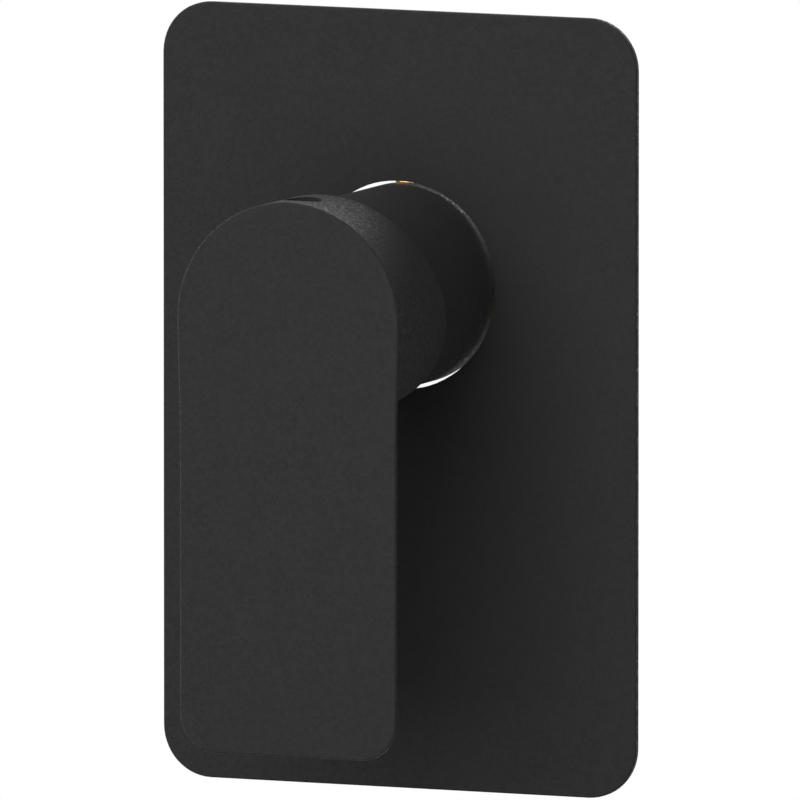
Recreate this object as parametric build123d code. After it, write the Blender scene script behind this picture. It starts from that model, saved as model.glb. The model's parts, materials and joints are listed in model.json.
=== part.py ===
from build123d import *
import os
from math import atan2, cos, degrees, hypot, radians, sin, sqrt

# Concealed single-lever shower mixer: what shows on the wall, the cartridge, and the body in the wall.
# Millimetres, X to the right, +Y into the wall, +Z up.
# The origin is on the control axis, where it meets the finished wall.

# Cover plate, its foam seal and the carrier behind it
PLATE_WIDTH = 119.0
PLATE_HEIGHT = 181.3
PLATE_THICKNESS = 1.6
PLATE_CORNER = 12.0
PLATE_EDGE_ROUND = 0.5
PLATE_TOP = 64.0
PLATE_HOLE_RADIUS = 24.3
GASKET_INSET = 4.0
GASKET_BAND = 6.0
GASKET_THICKNESS = 3.6
BRACKET_INSET = 13.0
BRACKET_THICKNESS = 2.5
BRACKET_OPENING_RADIUS = 32.0
BRACKET_FRAME = 9.0
BRACKET_RIBS = 2
BRACKET_RIB_SPACING = 27.0
ROD_RADIUS = 2.5
ROD_END_GAP = 1.0
GRIP_WALL = 1.4
GRIP_LENGTH = 11.0
SOCKET_WALL = 2.0
SOCKET_LENGTH = 12.0

# Lever handle
HANDLE_REACH = 65.6
HEAD_RADIUS = 27.6
HEAD_CENTRE_DROP = 1.64
LEVER_HALF_WIDTH = 27.0
LEVER_WAIST_Z = -29.0
LEVER_BOTTOM_Z = -102.4
LEVER_CORNER = 9.0
LEVER_EDGE = 1.0
LEVER_CROWN = 3.3
SIDE_DRAFT = 0.5
FRONT_EDGE_ROUND = 0.5
BACK_MARGIN = 12.0
BOSS_FLARE = 1.5
RIM_DEPTH = 29.2
RIM_TILT = 18.5
RIM_RADIUS = 27.2
RIM_EDGE_ROUND = 0.5
NECK_FILLET = 5.0
HUB_RADIUS = 7.5
HUB_BACK = 12.0
STEM_END_GAP = 0.4
GRUB_DEPTH = 9.3
GRUB_RADIUS = 3.0
GRUB_LENGTH = 12.0
GRUB_POINT = 1.2
GRUB_RECESS_RADIUS = 4.5
GRUB_RECESS_FLOOR_Z = 20.0
GRUB_KEY_FLATS = 3.0

# Sleeve over the cartridge
SLEEVE_RADIUS = 23.5
SLEEVE_WALL = 1.1
SLEEVE_BEHIND_PLATE = 4.8
SLEEVE_LIP = 7.0
CAVITY_CLEARANCE = 0.7

# Cartridge shell. Places along the axis are given forward of the tilt pivot.
HOUSING_RADIUS = 17.5
HOUSING_BORE = 15.0
HOUSING_FLANGE_RADIUS = 19.6
HOUSING_NOSE_RADIUS = 16.2
HOUSING_ROOF = -3.0
HOUSING_TOP = 2.0
FLANGE_FOOT = -9.0
FLANGE_TOP = -7.0
CARTRIDGE_FOOT = -27.0
BASE_FLANGE_TOP = -24.0
BASE_TOP = -20.0
PEG_AT = (12.5, 5.0)
PEG_RADIUS = 1.5
PEG_LENGTH = 3.0
PEG_HOLE_SPARE = 0.5
LIMIT_RING_TOP = 4.0
LIMIT_RING_INSET = 0.2
LIMIT_RING_GAP = 0.4
LIMIT_RING_TEETH = 20
LIMIT_NOTCH_DEPTH = 0.7
LIMIT_NOTCH_WIDTH = 1.2
NUT_RADIUS = 20.0
NUT_BORE = 16.5
NUT_FLANGE = 4.0
NUT_FLANGE_RADIUS = 21.0
NUT_SLOTS = 8
NUT_SLOT_WIDTH = 4.0
NUT_SLOT_DEPTH = 2.0

# Stem, its turning carrier and the tilt pin
CARRIER_RADIUS = 11.5
CARRIER_TOP = 5.0
CARRIER_FLANGE_RADIUS = 14.6
CARRIER_FLANGE_FOOT = -6.5
CARRIER_RING_AT = -0.5
LEG_HALF = 7.0
LEG_FOOT = -12.5
STEM_SIZE = 8.0
STEM_TOP = 23.0
STEM_SLOT_HALF = 8.0
STEM_EYE = 6.0
STEM_EYE_TOP = 5.0
STEM_EYE_FOOT = -4.0
STEM_NECK_RADIUS = 1.8
STEM_BALL = 2.4
STEM_BALL_AT = -9.6
PIN_RADIUS = 1.5
PIN_LENGTH = 19.0

# Ceramic discs and the slider. The ports are round; the inlets stand either side of straight down.
DISC_THICKNESS = 3.5
FIXED_DISC_RADIUS = 14.0
SLIDER_RADIUS = 10.6
SLIDER_FLAT = 10.4
SLIDER_TOP = -8.0
BALL_SOCKET_FLOOR = -12.2
KEY_WIDTH = 4.0
KEY_DEPTH = 1.0
KEY_HEIGHT = 2.0
PORT_RADIUS = 2.2
INLET_DISTANCE = 7.2
INLET_ANGLE = 40.0
OUTLET_PORT_Z = 3.0
PORT_LAND = 0.7
POCKET_RISE = 3.8
POCKET_DEPTH = 2.0
SEAL_WALL = 1.6
SEAL_HEIGHT = 1.6

# Fits
RUNNING_CLEARANCE = 0.1
SLIDING_CLEARANCE = 0.3
FACE_CLEARANCE = 0.05
PIN_PRESS_GAP = 0.01
PIN_RUNNING_GAP = 0.06
O_RING_SECTION = 0.8
O_RING_GROOVE_WIDTH = 2.0
EDGE_CHAMFER = 0.5
OVERRUN = 1.0

# Valve body in the wall
NECK_RADIUS = 22.0
NECK_STEP = 1.0
SLEEVE_RING_AT = -20.0
BARREL_RADIUS = 21.0
BODY_BACK = 48.0
FLANGE_THICKNESS = 6.0
FLANGE_RADIUS = 24.0
CASTING_FILLET = 2.0
ARM_WIDTH = 9.0
EAR_RADIUS = 6.0
FIXING_SPACING_X = 48.0
FIXING_SPACING_Z = 59.0
FIXING_HOLE_RADIUS = 3.25
ROD_SPREAD = 1.25
PORT_AXIS_Y = 30.0
PORT_BOSS_RADIUS = 13.5
PORT_BOSS_REACH = 38.0
PORT_FLATS = 25.0
PORT_FLATS_LENGTH = 14.0
THREAD_RADIUS = 9.3
THREAD_DEPTH = 16.0
DRILL_RADIUS = 5.0
DRILL_END = 6.4
CHAMBER_FLOOR = 4.0
PASSAGE_RADIUS = 4.0
PASSAGE_END = 34.0
PORT_TURNS = (0, 180, -90)

# Places that follow from the sizes above
PLATE_BACK = -GASKET_THICKNESS
PLATE_FRONT = PLATE_BACK - PLATE_THICKNESS
PLATE_CENTRE_Z = PLATE_TOP - PLATE_HEIGHT / 2
BRACKET_BACK = PLATE_BACK + BRACKET_THICKNESS
HANDLE_FRONT = PLATE_FRONT - HANDLE_REACH
PIVOT = HANDLE_FRONT + RIM_DEPTH
SLEEVE_REAR = PLATE_FRONT + SLEEVE_BEHIND_PLATE
SLEEVE_BORE = SLEEVE_RADIUS - SLEEVE_WALL
CAVITY_RADIUS = SLEEVE_RADIUS + CAVITY_CLEARANCE
GRIP_RADIUS = ROD_RADIUS + GRIP_WALL
GRUB_AT = RIM_DEPTH - GRUB_DEPTH
FIXED_DISC_TOP = BASE_TOP + DISC_THICKNESS
MOVING_DISC_FOOT = FIXED_DISC_TOP + FACE_CLEARANCE
MOVING_DISC_TOP = MOVING_DISC_FOOT + DISC_THICKNESS
POCKET_RADIUS = INLET_DISTANCE - PORT_RADIUS - PORT_LAND
SEAT_RADIUS = PORT_RADIUS + SEAL_WALL
INLET_X = INLET_DISTANCE * sin(radians(INLET_ANGLE))
INLET_Z = -INLET_DISTANCE * cos(radians(INLET_ANGLE))
PORT_PLACES = [(-INLET_X, INLET_Z), (INLET_X, INLET_Z), (0.0, OUTLET_PORT_Z)]
FIXING_X = FIXING_SPACING_X / 2
FIXING_Z = FIXING_SPACING_Z / 2
FIXING_PLACES = [(x, z) for x in (-FIXING_X, FIXING_X) for z in (-FIXING_Z, FIXING_Z)]
ROD_X = ROD_SPREAD * FIXING_X
ROD_Z = ROD_SPREAD * FIXING_Z
ROD_PLACES = [(-ROD_X, ROD_Z), (ROD_X, -ROD_Z)]


def ahead(distance):
    """The Y of a place that far forward of the tilt pivot."""
    return PIVOT - distance


def disc(radius, y_start, y_end, x=0.0, z=0.0):
    """A cylinder along Y between two depths."""
    middle = (y_start + y_end) / 2
    return Pos(x, middle, z) * Rot(90, 0, 0) * Cylinder(radius, abs(y_end - y_start))


def ring(outer, inner, y_start, y_end, x=0.0, z=0.0):
    """A plain tube along Y between two depths."""
    return disc(outer, y_start, y_end, x, z) - disc(inner, y_start, y_end, x, z)


def slab(outline, y_start, y_end):
    """A sketch drawn in X and Z, made solid between two depths."""
    front, back = min(y_start, y_end), max(y_start, y_end)
    return extrude(Plane.XZ.offset(-back) * outline, back - front)


def turned(points):
    """A closed profile of radius and depth, turned about the control axis."""
    return revolve(make_face(Polyline(*points, close=True)), Axis.Y)


def group(places, maker):
    """One compound of like solids, one at each place."""
    return Compound(children=[maker(x, z) for x, z in places])


def o_ring(major, y):
    """A round ring about the control axis."""
    return Pos(0, y, 0) * Rot(90, 0, 0) * Torus(major, O_RING_SECTION)


def ring_groove(outer, inner, y):
    """What is turned away to seat an O-ring."""
    half = O_RING_GROOVE_WIDTH / 2
    return ring(outer + OVERRUN, inner, y - half, y + half)


def cross_bar(radius, length):
    """A cylinder along X through the tilt pivot."""
    return Pos(0, PIVOT, 0) * Rot(0, 90, 0) * Cylinder(radius, length)


def side_keys(radius, clearance=0.0):
    """Two keys at the left and right edge of a disc, drawn in X and Z."""
    width = KEY_WIDTH - 2 * clearance
    depth = KEY_DEPTH - clearance
    key = Rectangle(2 * depth, width)
    return (Pos(-radius, 0) * key + Pos(radius, 0) * key) & Circle(radius)


def plate_outline(inset):
    """The plate's rounded outline, drawn in by an inset."""
    width = PLATE_WIDTH - 2 * inset
    height = PLATE_HEIGHT - 2 * inset
    return Pos(0, PLATE_CENTRE_Z) * RectangleRounded(width, height, PLATE_CORNER - inset / 2)


def plate_frame(inset, band):
    """A frame of even width that follows the plate's outline."""
    return plate_outline(inset) - plate_outline(inset + band)


def cover_plate():
    """Flat coated plate with a clear hole for the sleeve and softened front edges."""
    plate = slab(plate_outline(0) - Circle(PLATE_HOLE_RADIUS), PLATE_FRONT, PLATE_BACK)
    front = plate.faces().sort_by(Axis.Y)[0]
    return fillet(front.outer_wire().edges(), PLATE_EDGE_ROUND)


def plate_gasket():
    """Foam seal between the plate's rim and the wall."""
    return slab(plate_frame(GASKET_INSET, GASKET_BAND), PLATE_BACK, 0)


def plate_bracket():
    """Moulded carrier behind the plate: a ribbed frame with two sockets for the guide rods."""
    web = plate_frame(BRACKET_INSET, BRACKET_FRAME)
    web += Circle(BRACKET_OPENING_RADIUS + BRACKET_FRAME)
    low_end = PLATE_TOP - PLATE_HEIGHT + BRACKET_INSET
    for step in range(BRACKET_RIBS):
        rib_z = low_end + (step + 1) * BRACKET_RIB_SPACING
        web += Pos(0, rib_z) * Rectangle(PLATE_WIDTH, BRACKET_FRAME)
    for x, z in ROD_PLACES:
        web += Pos(x, z) * Circle(BRACKET_FRAME)
    web = (web & plate_outline(BRACKET_INSET)) - Circle(BRACKET_OPENING_RADIUS)
    bracket = slab(web, PLATE_BACK, BRACKET_BACK)
    socket_end = BRACKET_BACK + SOCKET_LENGTH
    for x, z in ROD_PLACES:
        bracket += disc(GRIP_RADIUS + SOCKET_WALL, BRACKET_BACK, socket_end, x, z)
        bracket -= disc(GRIP_RADIUS, PLATE_BACK, socket_end, x, z)
    return bracket


def rod_grips():
    """Rubber bushes that hold the carrier on its rods by friction."""
    def grip(x, z):
        return ring(GRIP_RADIUS, ROD_RADIUS, BRACKET_BACK, BRACKET_BACK + GRIP_LENGTH, x, z)
    return group(ROD_PLACES, grip)


def guide_rods():
    """Brass rods from the body's arms to the plate carrier, chamfered at the front."""
    def rod(x, z):
        bar = disc(ROD_RADIUS, PLATE_BACK + ROD_END_GAP, BODY_BACK - ROD_END_GAP, x, z)
        return chamfer(bar.edges().sort_by(Axis.Y)[0], EDGE_CHAMFER)
    return group(ROD_PLACES, rod)


def handle_outline():
    """Front view of the handle: a round head that narrows through an S-curve to a straight lever."""
    centre_z = -HEAD_CENTRE_DROP
    inner_x = LEVER_HALF_WIDTH - LEVER_CORNER
    corner_z = LEVER_BOTTOM_Z + LEVER_CORNER
    down = (0, -1)
    edges = [CenterArc((0, centre_z), HEAD_RADIUS, 0, 180)]
    for side in (1, -1):
        shoulder = (side * HEAD_RADIUS, centre_z)
        waist = (side * LEVER_HALF_WIDTH, LEVER_WAIST_Z)
        edges.append(Spline(shoulder, waist, tangents=(down, down)))
        edges.append(Line(waist, (side * LEVER_HALF_WIDTH, corner_z)))
    edges.append(CenterArc((inner_x, corner_z), LEVER_CORNER, -90, 90))
    edges.append(CenterArc((-inner_x, corner_z), LEVER_CORNER, 180, 90))
    edges.append(Line((-inner_x, LEVER_BOTTOM_Z), (inner_x, LEVER_BOTTOM_Z)))
    return make_face(edges)


def handle_blank():
    """The drafted outline, before its back is shaped, with the front edge rounded."""
    facing_wall = Plane((0, HANDLE_FRONT, 0), x_dir=(-1, 0, 0), z_dir=(0, 1, 0))
    deep = RIM_DEPTH + 2 * RIM_RADIUS * sin(radians(RIM_TILT))
    blank = extrude(facing_wall * handle_outline(), deep, taper=SIDE_DRAFT)
    front = blank.faces().sort_by(Axis.Y)[0]
    return fillet(front.edges(), FRONT_EDGE_ROUND)


def handle_back():
    """What bounds the handle from behind: a crowned lever that swells into a boss with a slanted rim."""
    wide = HEAD_RADIUS + BACK_MARGIN
    crown_radius = (LEVER_HALF_WIDTH ** 2 + LEVER_CROWN ** 2) / (2 * LEVER_CROWN)
    crest = HANDLE_FRONT + LEVER_EDGE + LEVER_CROWN
    edge = crest - crown_radius + sqrt(crown_radius ** 2 - wide ** 2)
    start = HANDLE_FRONT - BACK_MARGIN
    section = make_face([
        ThreePointArc((-wide, edge), (0, crest), (wide, edge)),
        Polyline((wide, edge), (wide, start), (-wide, start), (-wide, edge)),
    ])
    tall = 2 * abs(LEVER_BOTTOM_Z)
    lever = extrude(Pos(0, 0, LEVER_BOTTOM_Z - LEVER_CORNER) * section, tall)
    tilt = radians(RIM_TILT)
    rim = Plane((0, PIVOT, 0), x_dir=(1, 0, 0), z_dir=(0, -cos(tilt), -sin(tilt)))
    foot = Plane.XZ.offset(-HANDLE_FRONT) * Pos(0, -HEAD_CENTRE_DROP)
    boss = loft([foot * Circle(HEAD_RADIUS + BOSS_FLARE), rim * Circle(RIM_RADIUS)], ruled=True)
    back = lever + boss
    return fillet(new_edges(lever, boss, combined=back), NECK_FILLET)


def handle():
    """Cast lever with a hollow head, a square socket for the stem and a grub screw hole on top."""
    body = handle_blank() & handle_back()
    body -= Pos(0, PIVOT, 0) * Sphere(CAVITY_RADIUS)
    body -= disc(CAVITY_RADIUS, PIVOT, PIVOT + RIM_RADIUS)
    tilt = radians(RIM_TILT)
    rim_normal = Axis((0, PIVOT, 0), (0, cos(tilt), sin(tilt)))
    body = fillet(body.faces().sort_by(rim_normal)[-1].edges(), RIM_EDGE_ROUND)
    body += disc(HUB_RADIUS, ahead(HUB_BACK), ahead(CAVITY_RADIUS + OVERRUN))
    socket = STEM_SIZE + 2 * FACE_CLEARANCE
    depth = STEM_TOP + STEM_END_GAP - HUB_BACK
    body -= Pos(0, ahead(HUB_BACK + depth / 2), 0) * Box(socket, depth, socket)
    tall = HEAD_RADIUS + OVERRUN
    recess = tall - GRUB_RECESS_FLOOR_Z
    over_screw = Pos(0, ahead(GRUB_AT), 0)
    body -= over_screw * Pos(0, 0, tall / 2) * Cylinder(GRUB_RADIUS + FACE_CLEARANCE, tall)
    body -= over_screw * Pos(0, 0, tall - recess / 2) * Cylinder(GRUB_RECESS_RADIUS, recess)
    return body


def handle_grub_screw():
    """Cone-pointed set screw with a hexagon socket, bearing on the stem's upper flat."""
    screw = Pos(0, 0, GRUB_LENGTH / 2) * Cylinder(GRUB_RADIUS, GRUB_LENGTH)
    screw = chamfer(screw.edges().sort_by(Axis.Z)[0], GRUB_POINT)
    key = extrude(RegularPolygon(GRUB_KEY_FLATS / 2, 6, major_radius=False), GRUB_KEY_FLATS)
    screw -= Pos(0, 0, GRUB_LENGTH - GRUB_KEY_FLATS) * key
    return Pos(0, ahead(GRUB_AT), STEM_SIZE / 2) * screw


def lip_arc(radius):
    """Half section of the sleeve's domed lip, from the tilt pivot's plane to its front edge."""
    half = SLEEVE_LIP / 2
    middle = (sqrt(radius ** 2 - half ** 2), ahead(half))
    front = (sqrt(radius ** 2 - SLEEVE_LIP ** 2), ahead(SLEEVE_LIP))
    return ThreePointArc((radius, PIVOT), middle, front)


def sleeve():
    """Smooth tube from the plate to the handle, with a domed lip about the tilt pivot."""
    outer = lip_arc(SLEEVE_RADIUS)
    inner = lip_arc(SLEEVE_BORE)
    section = make_face([
        outer,
        Line(outer @ 1, inner @ 1),
        inner,
        Polyline(inner @ 0, (SLEEVE_BORE, SLEEVE_REAR), (SLEEVE_RADIUS, SLEEVE_REAR), outer @ 0),
    ])
    return revolve(section, Axis.Y)


def sleeve_o_ring():
    """Ring in the body's neck that grips the sleeve."""
    return o_ring(SLEEVE_BORE - O_RING_SECTION - FACE_CLEARANCE, ahead(SLEEVE_RING_AT))


def cartridge_housing():
    """Cartridge shell: open below, flanged outside, with a bored roof that the carrier turns in."""
    neck_bore = CARRIER_RADIUS + RUNNING_CLEARANCE
    return turned([
        (HOUSING_BORE, ahead(BASE_FLANGE_TOP)),
        (HOUSING_RADIUS, ahead(BASE_FLANGE_TOP)),
        (HOUSING_RADIUS, ahead(FLANGE_FOOT)),
        (HOUSING_FLANGE_RADIUS, ahead(FLANGE_FOOT)),
        (HOUSING_FLANGE_RADIUS, ahead(FLANGE_TOP)),
        (HOUSING_NOSE_RADIUS, ahead(FLANGE_TOP)),
        (HOUSING_NOSE_RADIUS, ahead(HOUSING_TOP)),
        (neck_bore, ahead(HOUSING_TOP)),
        (neck_bore, ahead(HOUSING_ROOF)),
        (HOUSING_BORE, ahead(HOUSING_ROOF)),
    ])


def cartridge_base():
    """Foot of the cartridge: three ports, seal seats on both faces, keys for the disc and two pegs."""
    foot, top = ahead(CARTRIDGE_FOOT), ahead(BASE_TOP)
    base = disc(HOUSING_RADIUS - FACE_CLEARANCE, foot, ahead(BASE_FLANGE_TOP))
    base += disc(HOUSING_BORE - FACE_CLEARANCE, ahead(BASE_FLANGE_TOP), top)
    base += slab(side_keys(FIXED_DISC_RADIUS, FACE_CLEARANCE), top, ahead(BASE_TOP + KEY_HEIGHT))
    for x, z in PORT_PLACES:
        base -= disc(PORT_RADIUS, foot, top, x, z)
        base -= disc(SEAT_RADIUS, foot, foot - SEAL_HEIGHT, x, z)
        base -= disc(SEAT_RADIUS, top + SEAL_HEIGHT, top, x, z)
    for side in (-1, 1):
        base += disc(PEG_RADIUS, foot, foot + PEG_LENGTH, side * PEG_AT[0], PEG_AT[1])
    return base


def port_seals(foot):
    """Three rubber rings, one round each port."""
    def seal(x, z):
        outer = SEAT_RADIUS - FACE_CLEARANCE
        return ring(outer, PORT_RADIUS, ahead(foot), ahead(foot + SEAL_HEIGHT), x, z)
    return group(PORT_PLACES, seal)


def base_seals():
    """Rings between the cartridge and the floor of the body."""
    return port_seals(CARTRIDGE_FOOT)


def disc_seals():
    """Rings between the cartridge's base and its fixed disc."""
    return port_seals(BASE_TOP - SEAL_HEIGHT)


def fixed_disc():
    """Ceramic disc with the three ports, notched at its sides for the base's keys."""
    outline = Circle(FIXED_DISC_RADIUS) - side_keys(FIXED_DISC_RADIUS)
    for x, z in PORT_PLACES:
        outline -= Pos(x, z) * Circle(PORT_RADIUS)
    return slab(outline, ahead(BASE_TOP), ahead(FIXED_DISC_TOP))


def moving_disc():
    """Ceramic disc whose blind pocket stays over the outlet and reaches the inlets as it slides down."""
    foot = ahead(MOVING_DISC_FOOT)
    plate = slab(Circle(SLIDER_RADIUS) - side_keys(SLIDER_RADIUS), foot, ahead(MOVING_DISC_TOP))
    pocket = Pos(0, POCKET_RISE / 2) * Rot(0, 0, 90) * SlotCenterToCenter(POCKET_RISE, 2 * POCKET_RADIUS)
    return plate - slab(pocket, foot, foot - POCKET_DEPTH)


def disc_carriage():
    """Slider that carries the moving disc: guide flats, a socket for the stem's ball and two keys."""
    foot = ahead(MOVING_DISC_TOP)
    shape = Circle(SLIDER_RADIUS) & Rectangle(2 * SLIDER_FLAT, 2 * SLIDER_RADIUS)
    slider = slab(shape, foot, ahead(SLIDER_TOP))
    slider -= disc(STEM_BALL + SLIDING_CLEARANCE, ahead(BALL_SOCKET_FLOOR), ahead(SLIDER_TOP))
    return slider + slab(side_keys(SLIDER_RADIUS, FACE_CLEARANCE) & shape, foot, foot + KEY_HEIGHT)


def stem_carrier():
    """Turning guide: a neck that runs in the housing's roof, a thrust flange and two legs for the slider."""
    shoulder = ahead(HOUSING_ROOF - RUNNING_CLEARANCE)
    flange_foot = ahead(CARRIER_FLANGE_FOOT)
    carrier = disc(CARRIER_RADIUS, shoulder, ahead(CARRIER_TOP))
    carrier += disc(CARRIER_FLANGE_RADIUS, flange_foot, shoulder)
    across = 2 * CARRIER_FLANGE_RADIUS
    legs = Circle(CARRIER_FLANGE_RADIUS) & Rectangle(across, 2 * LEG_HALF)
    legs -= Rectangle(2 * (SLIDER_FLAT + SLIDING_CLEARANCE), across)
    carrier += slab(legs, ahead(LEG_FOOT), flange_foot)
    slot = Rectangle(STEM_SIZE + 2 * SLIDING_CLEARANCE, 2 * STEM_SLOT_HALF)
    carrier -= slab(slot, flange_foot, ahead(CARRIER_TOP))
    carrier -= cross_bar(PIN_RADIUS + PIN_PRESS_GAP, across)
    return carrier - ring_groove(CARRIER_RADIUS, CARRIER_RADIUS - 2 * O_RING_SECTION, ahead(CARRIER_RING_AT))


def carrier_o_ring():
    """Water seal of the turning neck."""
    return o_ring(CARRIER_RADIUS - O_RING_SECTION, ahead(CARRIER_RING_AT))


def lever_stem():
    """Square steel stem, eyed for the pivot pin, with a ball that drives the slider."""
    stem = slab(Rectangle(STEM_SIZE, STEM_SIZE), ahead(STEM_EYE_TOP), ahead(STEM_TOP))
    stem = chamfer(stem.faces().sort_by(Axis.Y)[0].edges(), EDGE_CHAMFER)
    stem += slab(Rectangle(STEM_SIZE, STEM_EYE), ahead(STEM_EYE_FOOT), ahead(STEM_EYE_TOP))
    stem += disc(STEM_NECK_RADIUS, ahead(STEM_BALL_AT), ahead(STEM_EYE_FOOT))
    stem += Pos(0, ahead(STEM_BALL_AT), 0) * Sphere(STEM_BALL)
    return stem - cross_bar(PIN_RADIUS + PIN_RUNNING_GAP, STEM_SIZE + OVERRUN)


def pivot_pin():
    """Tilt pin across the carrier."""
    return cross_bar(PIN_RADIUS, PIN_LENGTH)


def limit_ring():
    """Toothed ring on the housing that sets the hottest position."""
    outer = HOUSING_NOSE_RADIUS - LIMIT_RING_INSET
    top = ahead(LIMIT_RING_TOP)
    tooth_height = LIMIT_RING_TOP - HOUSING_TOP
    blank = ring(outer, CARRIER_RADIUS + LIMIT_RING_GAP, ahead(HOUSING_TOP), top)
    notch = Box(2 * LIMIT_NOTCH_DEPTH, 2 * tooth_height, LIMIT_NOTCH_WIDTH)
    for step in range(LIMIT_RING_TEETH):
        blank -= Rot(0, step * 360 / LIMIT_RING_TEETH, 0) * Pos(outer, top, 0) * notch
    return blank


def cartridge_nut():
    """Brass ring nut that clamps the cartridge, with slots for the spanner."""
    nut = ring(NUT_RADIUS, NUT_BORE, ahead(FLANGE_TOP), ahead(0))
    nut += ring(NUT_FLANGE_RADIUS, NUT_BORE, ahead(0), ahead(NUT_FLANGE))
    slot = Box(2 * NUT_SLOT_DEPTH, NUT_FLANGE, NUT_SLOT_WIDTH)
    for step in range(NUT_SLOTS):
        turn = Rot(0, step * 360 / NUT_SLOTS, 0)
        nut -= turn * Pos(NUT_FLANGE_RADIUS, ahead(NUT_FLANGE / 2), 0) * slot
    return nut


def along_port(radius, start, end):
    """A cylinder along +X on the ports' axis."""
    return Pos((start + end) / 2, PORT_AXIS_Y, 0) * Rot(0, 90, 0) * Cylinder(radius, end - start)


def port_boss():
    """One outer port arm of the body, pointing to +X, with two spanner flats at its mouth."""
    across = 3 * PORT_BOSS_RADIUS
    waste = Box(PORT_FLATS_LENGTH, across, across) - Box(PORT_FLATS_LENGTH, PORT_FLATS, across)
    at_mouth = Pos(PORT_BOSS_REACH - PORT_FLATS_LENGTH / 2, PORT_AXIS_Y, 0)
    return along_port(PORT_BOSS_RADIUS, 0, PORT_BOSS_REACH) - at_mouth * waste


def port_bore():
    """Threaded mouth and drilled way of the port that points to +X."""
    mouth = along_port(THREAD_RADIUS, PORT_BOSS_REACH - THREAD_DEPTH, PORT_BOSS_REACH)
    return mouth + along_port(DRILL_RADIUS, DRILL_END, PORT_BOSS_REACH)


def flange_arm(x, z):
    """One flat arm from the control axis to a round ear, drawn in X and Z."""
    reach = hypot(x, z)
    turn = degrees(atan2(z, x))
    return Rot(0, 0, turn) * Pos(reach / 2, 0) * Rectangle(reach, ARM_WIDTH) + Pos(x, z) * Circle(EAR_RADIUS)


def fixing_flange():
    """Back plate of the body: four arms with wall fixing holes, two of them longer for the guide rods."""
    shape = Circle(FLANGE_RADIUS)
    for x, z in FIXING_PLACES + ROD_PLACES:
        shape += flange_arm(x, z)
    for x, z in FIXING_PLACES:
        shape -= Pos(x, z) * Circle(FIXING_HOLE_RADIUS)
    for x, z in ROD_PLACES:
        shape -= Pos(x, z) * Circle(ROD_RADIUS)
    return slab(shape, BODY_BACK - FLANGE_THICKNESS, BODY_BACK)


def valve_body():
    """Brass casting: cartridge chamber and neck, two inlets, one outlet on top, and the fixing flange."""
    neck_end = SLEEVE_REAR - NECK_STEP
    barrel = disc(BARREL_RADIUS, neck_end, BODY_BACK)
    bosses = Part() + [Rot(0, turn, 0) * port_boss() for turn in PORT_TURNS]
    body = barrel + bosses
    body = fillet(new_edges(barrel, bosses, combined=body), CASTING_FILLET)
    body += disc(NECK_RADIUS, PIVOT, neck_end) + fixing_flange()
    floor = ahead(CARTRIDGE_FOOT)
    body -= disc(HOUSING_RADIUS + FACE_CLEARANCE, floor, ahead(FLANGE_FOOT))
    body -= disc(NUT_RADIUS + FACE_CLEARANCE, ahead(FLANGE_FOOT), PIVOT)
    for x, z in PORT_PLACES:
        body -= disc(PORT_RADIUS, floor, floor + CHAMBER_FLOOR, x, z)
        body -= disc(PASSAGE_RADIUS, floor + CHAMBER_FLOOR, PASSAGE_END, x, z)
    peg_hole_end = floor + PEG_LENGTH + PEG_HOLE_SPARE
    for side in (-1, 1):
        body -= disc(PEG_RADIUS + FACE_CLEARANCE, floor, peg_hole_end, side * PEG_AT[0], PEG_AT[1])
    for turn in PORT_TURNS:
        body -= Rot(0, turn, 0) * port_bore()
    groove_floor = SLEEVE_BORE - 2 * O_RING_SECTION - 2 * FACE_CLEARANCE
    return body - ring_groove(NECK_RADIUS, groove_floor, ahead(SLEEVE_RING_AT))


NODES = [
    cover_plate, plate_gasket, plate_bracket, rod_grips, guide_rods,
    handle, handle_grub_screw, lever_stem, pivot_pin, stem_carrier, carrier_o_ring,
    disc_carriage, moving_disc, fixed_disc, disc_seals, cartridge_base, base_seals,
    cartridge_housing, limit_ring, cartridge_nut, sleeve, sleeve_o_ring, valve_body,
]

os.makedirs("parts", exist_ok=True)
for make in NODES:
    export_step(make(), f"parts/{make.__name__}.step")
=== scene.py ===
import json
import logging
import math
from dataclasses import dataclass
from enum import Enum
from functools import cache
from typing import Any

import bmesh
import bpy
from mathutils import Matrix, Vector


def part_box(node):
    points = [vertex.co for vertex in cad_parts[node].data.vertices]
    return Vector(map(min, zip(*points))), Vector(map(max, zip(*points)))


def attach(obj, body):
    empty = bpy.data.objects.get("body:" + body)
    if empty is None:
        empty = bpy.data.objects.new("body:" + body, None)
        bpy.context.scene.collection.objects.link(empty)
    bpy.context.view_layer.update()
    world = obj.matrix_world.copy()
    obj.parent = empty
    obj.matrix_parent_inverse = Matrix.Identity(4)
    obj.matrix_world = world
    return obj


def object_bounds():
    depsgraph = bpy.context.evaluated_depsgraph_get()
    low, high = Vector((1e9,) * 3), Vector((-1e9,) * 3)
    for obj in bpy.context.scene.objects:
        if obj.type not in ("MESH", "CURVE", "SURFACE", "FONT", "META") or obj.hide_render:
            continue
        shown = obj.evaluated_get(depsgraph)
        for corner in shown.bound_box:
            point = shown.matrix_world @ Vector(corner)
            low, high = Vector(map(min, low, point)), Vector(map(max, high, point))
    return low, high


# Looks of a concealed single-lever shower mixer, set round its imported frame.
# Metres, X to the right, +Y into the wall, +Z up, origin on the control axis at the wall's face.

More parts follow.
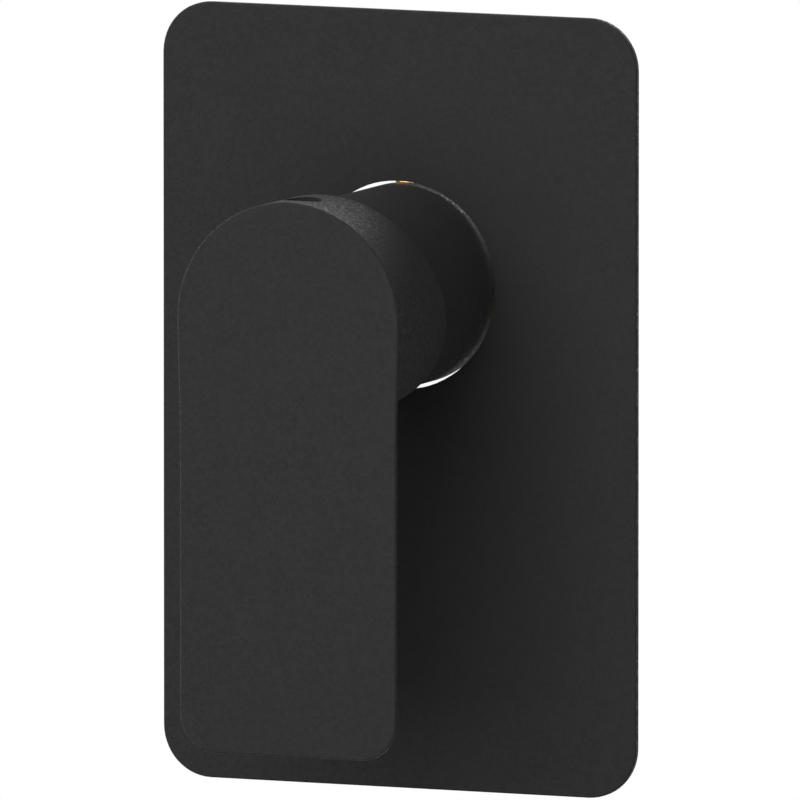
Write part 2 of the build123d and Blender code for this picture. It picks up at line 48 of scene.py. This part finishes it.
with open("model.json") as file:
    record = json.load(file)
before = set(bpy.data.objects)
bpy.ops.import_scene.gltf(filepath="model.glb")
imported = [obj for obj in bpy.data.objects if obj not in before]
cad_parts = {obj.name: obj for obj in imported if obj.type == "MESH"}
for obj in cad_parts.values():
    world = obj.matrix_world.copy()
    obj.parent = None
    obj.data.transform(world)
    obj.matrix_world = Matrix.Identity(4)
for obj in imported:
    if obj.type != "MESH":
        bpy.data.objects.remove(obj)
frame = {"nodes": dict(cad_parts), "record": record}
CAD_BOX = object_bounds()
LOG = logging.getLogger("shower_mixer")
MM = 0.001
WHITE = "#ffffff"

# Sockets of the colour mix node, whose names repeat
MIX_FACTOR = 0
MIX_DARK = 6
MIX_LIGHT = 7
MIX_RESULT = 2

# Middle stretch of a noise's values, over which the patches' colours and the grain's gloss run
PATCH_STRETCH = (0.3, 0.7)
GRAIN_STRETCH = (0.25, 0.75)


def linear(hex_colour: str) -> tuple[float, float, float, float]:
    """Turns an sRGB hex colour to linear RGBA.

    Args:
        hex_colour: Colour such as "#282828".

    Returns:
        Red, green, blue and an alpha of 1.
    """
    channels = [int(hex_colour[start:start + 2], 16) / 255 for start in (1, 3, 5)]
    red, green, blue = (c / 12.92 if c <= 0.04045 else ((c + 0.055) / 1.055) ** 2.4 for c in channels)
    return red, green, blue, 1.0


def add_node(
    tree: bpy.types.NodeTree, kind: str, inputs: dict[str | int, Any] | None = None, **settings: Any,
) -> bpy.types.Node:
    """Adds one shader node, sets its properties, and fills or links its inputs.

    Args:
        tree: Node tree that gets the node.
        kind: Blender's name for the kind of node.
        inputs: A value or an output socket for each input name or index.
        **settings: Properties of the node itself.

    Returns:
        The new node.
    """
    node = tree.nodes.new(kind)
    for name, value in settings.items():
        setattr(node, name, value)
    for key, value in (inputs or {}).items():
        if isinstance(value, bpy.types.NodeSocket):
            tree.links.new(value, node.inputs[key])
        else:
            node.inputs[key].default_value = value
    return node


class Grain(Enum):
    """How a surface's fine relief is made, with the texture node and the output that draw it."""

    SPECKLE = ("ShaderNodeTexNoise", "Fac")
    CELLS = ("ShaderNodeTexVoronoi", "Distance")


@dataclass(frozen=True)
class Finish:
    """One real surface: two close colours in soft patches, and a fine relief that also varies the gloss."""

    name: str
    dark: str
    light: str
    patch_mm: float
    grain_mm: tuple[float, float, float]
    relief_mm: float
    roughness: tuple[float, float]
    grain: Grain = Grain.SPECKLE
    metallic: float = 0.0
    specular: float = 0.5

    @cache
    def build(self) -> bpy.types.Material:
        """Makes the finish, once, as a node material on Object coordinates.

        Returns:
            The material.
        """
        material = bpy.data.materials.new(self.name)
        material.use_nodes = True
        tree = material.node_tree
        shader = tree.nodes["Principled BSDF"]
        shader.inputs["Metallic"].default_value = self.metallic
        shader.inputs["Specular IOR Level"].default_value = self.specular
        place = add_node(tree, "ShaderNodeTexCoord").outputs["Object"]
        patches = add_node(tree, "ShaderNodeTexNoise", {"Vector": place, "Scale": 1 / (self.patch_mm * MM)})
        patch_low, patch_high = PATCH_STRETCH
        spread = add_node(tree, "ShaderNodeMapRange", {
            "Value": patches.outputs["Fac"], "From Min": patch_low, "From Max": patch_high,
        })
        colour = add_node(tree, "ShaderNodeMix", {
            MIX_FACTOR: spread.outputs["Result"], MIX_DARK: linear(self.dark), MIX_LIGHT: linear(self.light),
        }, data_type="RGBA")
        cells = add_node(tree, "ShaderNodeMapping", {
            "Vector": place, "Scale": [1 / (size * MM) for size in self.grain_mm],
        })
        texture, output = self.grain.value
        relief = add_node(tree, texture, {"Vector": cells.outputs["Vector"], "Scale": 1.0}).outputs[output]
        grain_low, grain_high = GRAIN_STRETCH
        smooth, rough = self.roughness
        gloss = add_node(tree, "ShaderNodeMapRange", {
            "Value": relief, "From Min": grain_low, "From Max": grain_high, "To Min": smooth, "To Max": rough,
        })
        bump = add_node(tree, "ShaderNodeBump", {"Height": relief, "Distance": self.relief_mm * MM})
        tree.links.new(colour.outputs[MIX_RESULT], shader.inputs["Base Color"])
        tree.links.new(gloss.outputs["Result"], shader.inputs["Roughness"])
        tree.links.new(bump.outputs["Normal"], shader.inputs["Normal"])
        return material


# Grains too fine for the render, as on the coat, the plastics and the rubber, are drawn coarse enough to show

# Matt black powder coat, baked on: flat and dull from the front, with a fine grain that sparkles where light
# grazes it. Its gloss is lower than a smooth paint's.
POWDER_COAT = Finish("powder_coat_matt_black", "#2b2b2b", "#2c2c2c", 14.0, (0.8, 0.8, 0.8), 0.01,
                     (0.42, 1.0), specular=0.065)
# Closed-cell polyethylene foam, skived: small cells that look dull and slightly open
FOAM = Finish("polyethylene_foam_black", "#26262a", "#313135", 5.0, (0.7, 0.7, 0.7), 0.15,
              (0.8, 0.95), grain=Grain.CELLS, specular=0.3)
# ABS, moulded in a spark-eroded tool: dark plastic with a soft satin speckle
ABS = Finish("abs_moulded_charcoal", "#38383b", "#414145", 18.0, (0.5, 0.5, 0.5), 0.04, (0.42, 0.58))
# Nitrile rubber, moulded: near black, with a faint grey bloom
RUBBER = Finish("nitrile_rubber_black", "#1c1c1d", "#262627", 4.0, (0.3, 0.3, 0.3), 0.015, (0.5, 0.68))
# Brass, sand cast: a warm dull yellow with browner patches and a coarse pitted skin
CAST_BRASS = Finish("brass_sand_cast", "#a9823f", "#c9a35a", 16.0, (0.8, 0.8, 0.8), 0.10,
                    (0.36, 0.55), metallic=1.0)
# Brass, turned on a lathe: brighter, with fine rings along the axis
TURNED_BRASS = Finish("brass_turned", "#c4a052", "#dcbc70", 9.0, (12.0, 0.16, 12.0), 0.012,
                      (0.2, 0.34), metallic=1.0)
# Stainless steel, machined: grey and bright, with fine tool lines
STEEL = Finish("stainless_steel_machined", "#b4b4b2", "#cbcbc9", 6.0, (0.12, 8.0, 0.12), 0.008,
               (0.22, 0.36), metallic=1.0)
# Acetal, moulded white: waxy, with faint cloudy flow patches
WHITE_ACETAL = Finish("acetal_moulded_white", "#dcdcd6", "#e6e6e1", 7.0, (0.6, 0.6, 0.6), 0.01, (0.3, 0.42))
# Acetal, moulded grey: the same waxy plastic with a mid grey pigment
GREY_ACETAL = Finish("acetal_moulded_grey", "#96989c", "#a2a4a8", 7.0, (0.6, 0.6, 0.6), 0.01, (0.3, 0.42))
# Nylon, moulded red: a clear warm red with a low gloss
RED_NYLON = Finish("nylon_moulded_red", "#aa332c", "#b83c34", 5.0, (0.5, 0.5, 0.5), 0.01, (0.28, 0.4))
# Alumina ceramic, lapped: off-white, dense, with a fine even speckle and a soft gloss
ALUMINA = Finish("alumina_lapped", "#e9e5d8", "#f1eee4", 2.5, (0.2, 0.2, 0.2), 0.004, (0.16, 0.26))


def dress(finish: Finish, *nodes: str) -> None:
    """Gives CAD nodes a finish.

    Args:
        finish: The finish.
        *nodes: Names of the nodes that take it.
    """
    for name in nodes:
        slots = frame["nodes"][name].data.materials
        slots.clear()
        slots.append(finish.build())
        LOG.info("%s: %s", name, finish.name)


@dataclass
class Trim:
    """What shows on the wall: cover plate, sleeve, lever handle and its grub screw."""

    coated: tuple[str, ...] = ("cover_plate", "sleeve", "handle")
    screw: str = "handle_grub_screw"

    def build(self) -> None:
        """Dresses the trim."""
        dress(POWDER_COAT, *self.coated)
        dress(STEEL, self.screw)


@dataclass
class PlateCarrier:
    """What holds the plate: foam seal, moulded carrier, guide rods and their rubber grips."""

    seal: str = "plate_gasket"
    carrier: str = "plate_bracket"
    rods: str = "guide_rods"
    grips: str = "rod_grips"

    def build(self) -> None:
        """Dresses the carrier."""
        dress(FOAM, self.seal)
        dress(ABS, self.carrier)
        dress(TURNED_BRASS, self.rods)
        dress(RUBBER, self.grips)


@dataclass
class Cartridge:
    """The ceramic-disc cartridge, with its stem, seals and ring nut."""

    drive: tuple[str, ...] = ("lever_stem", "pivot_pin")
    shell: tuple[str, ...] = ("cartridge_housing", "cartridge_base")
    carriers: tuple[str, ...] = ("stem_carrier", "disc_carriage")
    limit: str = "limit_ring"
    discs: tuple[str, ...] = ("fixed_disc", "moving_disc")
    seals: tuple[str, ...] = ("carrier_o_ring", "disc_seals", "base_seals")
    ring_nut: str = "cartridge_nut"

    def build(self) -> None:
        """Dresses the cartridge."""
        dress(STEEL, *self.drive)
        dress(WHITE_ACETAL, *self.shell)
        dress(GREY_ACETAL, *self.carriers)
        dress(RED_NYLON, self.limit)
        dress(ALUMINA, *self.discs)
        dress(RUBBER, *self.seals)
        dress(TURNED_BRASS, self.ring_nut)


@dataclass
class ValveBody:
    """The brass body in the wall, with the sleeve's seal and the threads cut in its three ports."""

    casting: str = "valve_body"
    seal: str = "sleeve_o_ring"
    ports: tuple[str, ...] = ("hot_inlet", "cold_inlet", "shower_outlet")
    pitch_mm: float = 1.814
    ridge_mm: float = 0.55
    steps_per_turn: int = 48

    def build(self) -> None:
        """Dresses the body and cuts its threads."""
        dress(CAST_BRASS, self.casting)
        dress(RUBBER, self.seal)
        mounts = {mount["name"]: mount for mount in frame["record"]["mounts"]}
        for name in self.ports:
            piece = self.thread(name, mounts[name])
            piece.data.materials.append(TURNED_BRASS.build())
            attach(piece, "fixed")
            LOG.info("%s: %s", piece.name, TURNED_BRASS.name)

    def thread(self, name: str, mount: dict[str, Any]) -> bpy.types.Object:
        """Makes one port's thread as a ridge wound along the bore.

        Args:
            name: The mount's name.
            mount: The mount from the record, with its place, axis, radius and length.

        Returns:
            The thread's object.
        """
        bore = mount["dims"]["r_mm"] * MM
        length = mount["dims"]["length_mm"] * MM
        pitch = self.pitch_mm * MM
        # One turn fewer than fit, so that both ends stay inside the bore
        turns = int(length / pitch) - 1
        start = -length / 2 + pitch / 2
        crest = bore - self.ridge_mm * MM
        section = [(bore, 0, start), (crest, 0, start + pitch / 2), (bore, 0, start + pitch)]
        work = bmesh.new()
        corners = [work.verts.new(point) for point in section]
        edges = [work.edges.new((corners[i - 1], corners[i])) for i in range(len(corners))]
        bmesh.ops.spin(
            work, geom=corners + edges, cent=(0, 0, 0), axis=(0, 0, 1), angle=2 * math.pi * turns,
            dvec=(0, 0, pitch / self.steps_per_turn), steps=turns * self.steps_per_turn, use_merge=False,
        )
        bmesh.ops.holes_fill(work, edges=[edge for edge in work.edges if edge.is_boundary])
        bmesh.ops.recalc_face_normals(work, faces=work.faces)
        along = Vector(mount["axis"]).to_track_quat("Z", "Y").to_matrix().to_4x4()
        bmesh.ops.transform(work, matrix=Matrix.Translation(mount["pos_m"]) @ along, verts=work.verts)
        mesh = bpy.data.meshes.new(f"{name}_thread")
        work.to_mesh(mesh)
        work.free()
        piece = bpy.data.objects.new(mesh.name, mesh)
        bpy.context.scene.collection.objects.link(piece)
        return piece


@dataclass(frozen=True)
class Softbox:
    """A square lamp that faces the object."""

    name: str
    place: tuple[float, float, float]
    size: float
    power: float

    def build(self) -> None:
        """Hangs the lamp."""
        data = bpy.data.lights.new(self.name, "AREA")
        data.size = self.size
        data.energy = self.power
        lamp = bpy.data.objects.new(self.name, data)
        lamp.location = self.place
        lamp.rotation_mode = "QUATERNION"
        lamp.rotation_quaternion = (-lamp.location).to_track_quat("-Z", "Y")
        bpy.context.scene.collection.objects.link(lamp)


# The edge lamp picks out the lever's left edge and hardly lights the plate's face. The back lamps stand behind
# the plate: they light the top of the handle's head, and the sleeve through its gap.
SOFTBOXES = (
    Softbox("front_softbox", (0.0, -1.6, 0.05), 1.2, 15.5),
    Softbox("top_softbox", (0.0, -1.1, 1.2), 1.2, 10.5),
    Softbox("left_softbox", (-1.0, -0.6, 1.1), 1.2, 9.5),
    Softbox("edge_softbox", (-1.6, 0.2, 0.15), 0.5, 14.0),
    Softbox("back_softbox", (0.0, 1.28, 1.0), 0.6, 28.0),
    Softbox("low_back_softbox", (0.45, 1.5, -0.12), 0.4, 5.0),
)


@dataclass
class Studio:
    """White surroundings, soft light, a pale floor under the object, and the camera."""

    azimuth_deg: float = 23.0
    elevation_deg: float = 6.7
    field_of_view_deg: float = 1.4
    picture_per_plate: float = 1.0218
    aim_mm: tuple[float, float] = (0.3, -0.1)
    floor_drop: float = 0.13
    floor_radius: float = 1.0
    floor_segments: int = 128
    floor_fade: tuple[float, float] = (0.55, 0.85)
    floor_colour: str = "#eeeeec"
    fill_level: float = 0.28
    clip_reach: float = 3.0

    def build(self) -> None:
        """Sets up the camera, the world, the lamps and the floor."""
        bpy.context.scene.view_settings.view_transform = "Standard"
        self.camera()
        self.world()
        for softbox in SOFTBOXES:
            softbox.build()
        self.floor()

    def camera(self) -> None:
        """Stands the camera where the picture was taken from."""
        low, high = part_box("cover_plate")
        aim_x, aim_z = self.aim_mm
        target = Vector(((low.x + high.x) / 2 + aim_x * MM, low.y, (low.z + high.z) / 2 + aim_z * MM))
        turn, rise = math.radians(self.azimuth_deg), math.radians(self.elevation_deg)
        back = Vector((math.sin(turn) * math.cos(rise), -math.cos(turn) * math.cos(rise), math.sin(rise)))
        half_view = math.radians(self.field_of_view_deg) / 2
        distance = self.picture_per_plate * (high.z - low.z) / 2 / math.tan(half_view)
        data = bpy.data.cameras.new("camera")
        data.angle = 2 * half_view
        data.clip_end = self.clip_reach * distance
        camera = bpy.data.objects.new("camera", data)
        camera.location = target + back * distance
        camera.rotation_mode = "QUATERNION"
        camera.rotation_quaternion = (-back).to_track_quat("-Z", "Y")
        bpy.context.scene.collection.objects.link(camera)
        bpy.context.scene.camera = camera

    def seen_directly(self, tree: bpy.types.NodeTree) -> bpy.types.NodeSocket:
        """Tells the rays that show the surroundings from those that light the object.

        Args:
            tree: Node tree that gets the test.

        Returns:
            A socket that is 1 for camera, glossy and transmission rays.
        """
        ray = add_node(tree, "ShaderNodeLightPath").outputs
        mirrored = add_node(tree, "ShaderNodeMath", {0: ray["Is Glossy Ray"], 1: ray["Is Transmission Ray"]},
                            operation="MAXIMUM")
        return add_node(tree, "ShaderNodeMath", {0: ray["Is Camera Ray"], 1: mirrored.outputs[0]},
                        operation="MAXIMUM").outputs[0]

    def world(self) -> None:
        """Makes the surroundings: white to the eye and in mirrors, with a faint fill light for the object."""
        world = bpy.data.worlds.new("white_studio")
        bpy.context.scene.world = world
        world.use_nodes = True
        tree = world.node_tree
        tree.nodes.clear()
        fill = add_node(tree, "ShaderNodeBackground", {"Color": linear(WHITE), "Strength": self.fill_level})
        white = add_node(tree, "ShaderNodeBackground", {"Color": linear(WHITE), "Strength": 1.0})
        mix = add_node(tree, "ShaderNodeMixShader", {
            0: self.seen_directly(tree), 1: fill.outputs[0], 2: white.outputs[0],
        })
        add_node(tree, "ShaderNodeOutputWorld", {"Surface": mix.outputs[0]})

    def floor(self) -> None:
        """Lays a pale floor below the object, which turns into the white surroundings further out."""
        low, _ = CAD_BOX
        work = bmesh.new()
        bmesh.ops.create_circle(work, cap_ends=True, segments=self.floor_segments, radius=self.floor_radius)
        bmesh.ops.translate(work, vec=(0, 0, low.z - self.floor_drop), verts=work.verts)
        mesh = bpy.data.meshes.new("floor")
        work.to_mesh(mesh)
        work.free()
        mesh.materials.append(self.floor_finish())
        floor = bpy.data.objects.new("floor", mesh)
        # The floor takes the object's shadow and throws no light back up at it
        floor.visible_diffuse = False
        bpy.context.scene.collection.objects.link(floor)

    def floor_finish(self) -> bpy.types.Material:
        """Makes the floor's paint: pale and matt near the object, plain white for the eye further out.

        Returns:
            The new material.
        """
        material = bpy.data.materials.new("painted_floor_pale")
        material.use_nodes = True
        tree = material.node_tree
        tree.nodes.clear()
        place = add_node(tree, "ShaderNodeTexCoord").outputs["Object"]
        distance = add_node(tree, "ShaderNodeVectorMath", {0: place}, operation="LENGTH").outputs["Value"]
        near, far = self.floor_fade
        fade = add_node(tree, "ShaderNodeMapRange", {"Value": distance, "From Min": near, "From Max": far},
                        interpolation_type="SMOOTHSTEP")
        shown = add_node(tree, "ShaderNodeMath", {0: fade.outputs["Result"], 1: self.seen_directly(tree)},
                         operation="MULTIPLY")
        paint = add_node(tree, "ShaderNodeBsdfDiffuse", {"Color": linear(self.floor_colour)})
        white = add_node(tree, "ShaderNodeEmission", {"Color": linear(WHITE), "Strength": 1.0})
        mix = add_node(tree, "ShaderNodeMixShader", {
            0: shown.outputs[0], 1: paint.outputs[0], 2: white.outputs[0],
        })
        add_node(tree, "ShaderNodeOutputMaterial", {"Surface": mix.outputs[0]})
        return material


def main() -> None:
    """Dresses each sub-assembly, then sets up the studio."""
    logging.basicConfig(level=logging.INFO, format="%(message)s")
    for assembly in (Trim(), PlateCarrier(), Cartridge(), ValveBody(), Studio()):
        LOG.info("building %s", type(assembly).__name__)
        assembly.build()


if __name__ == "__main__":
    main()
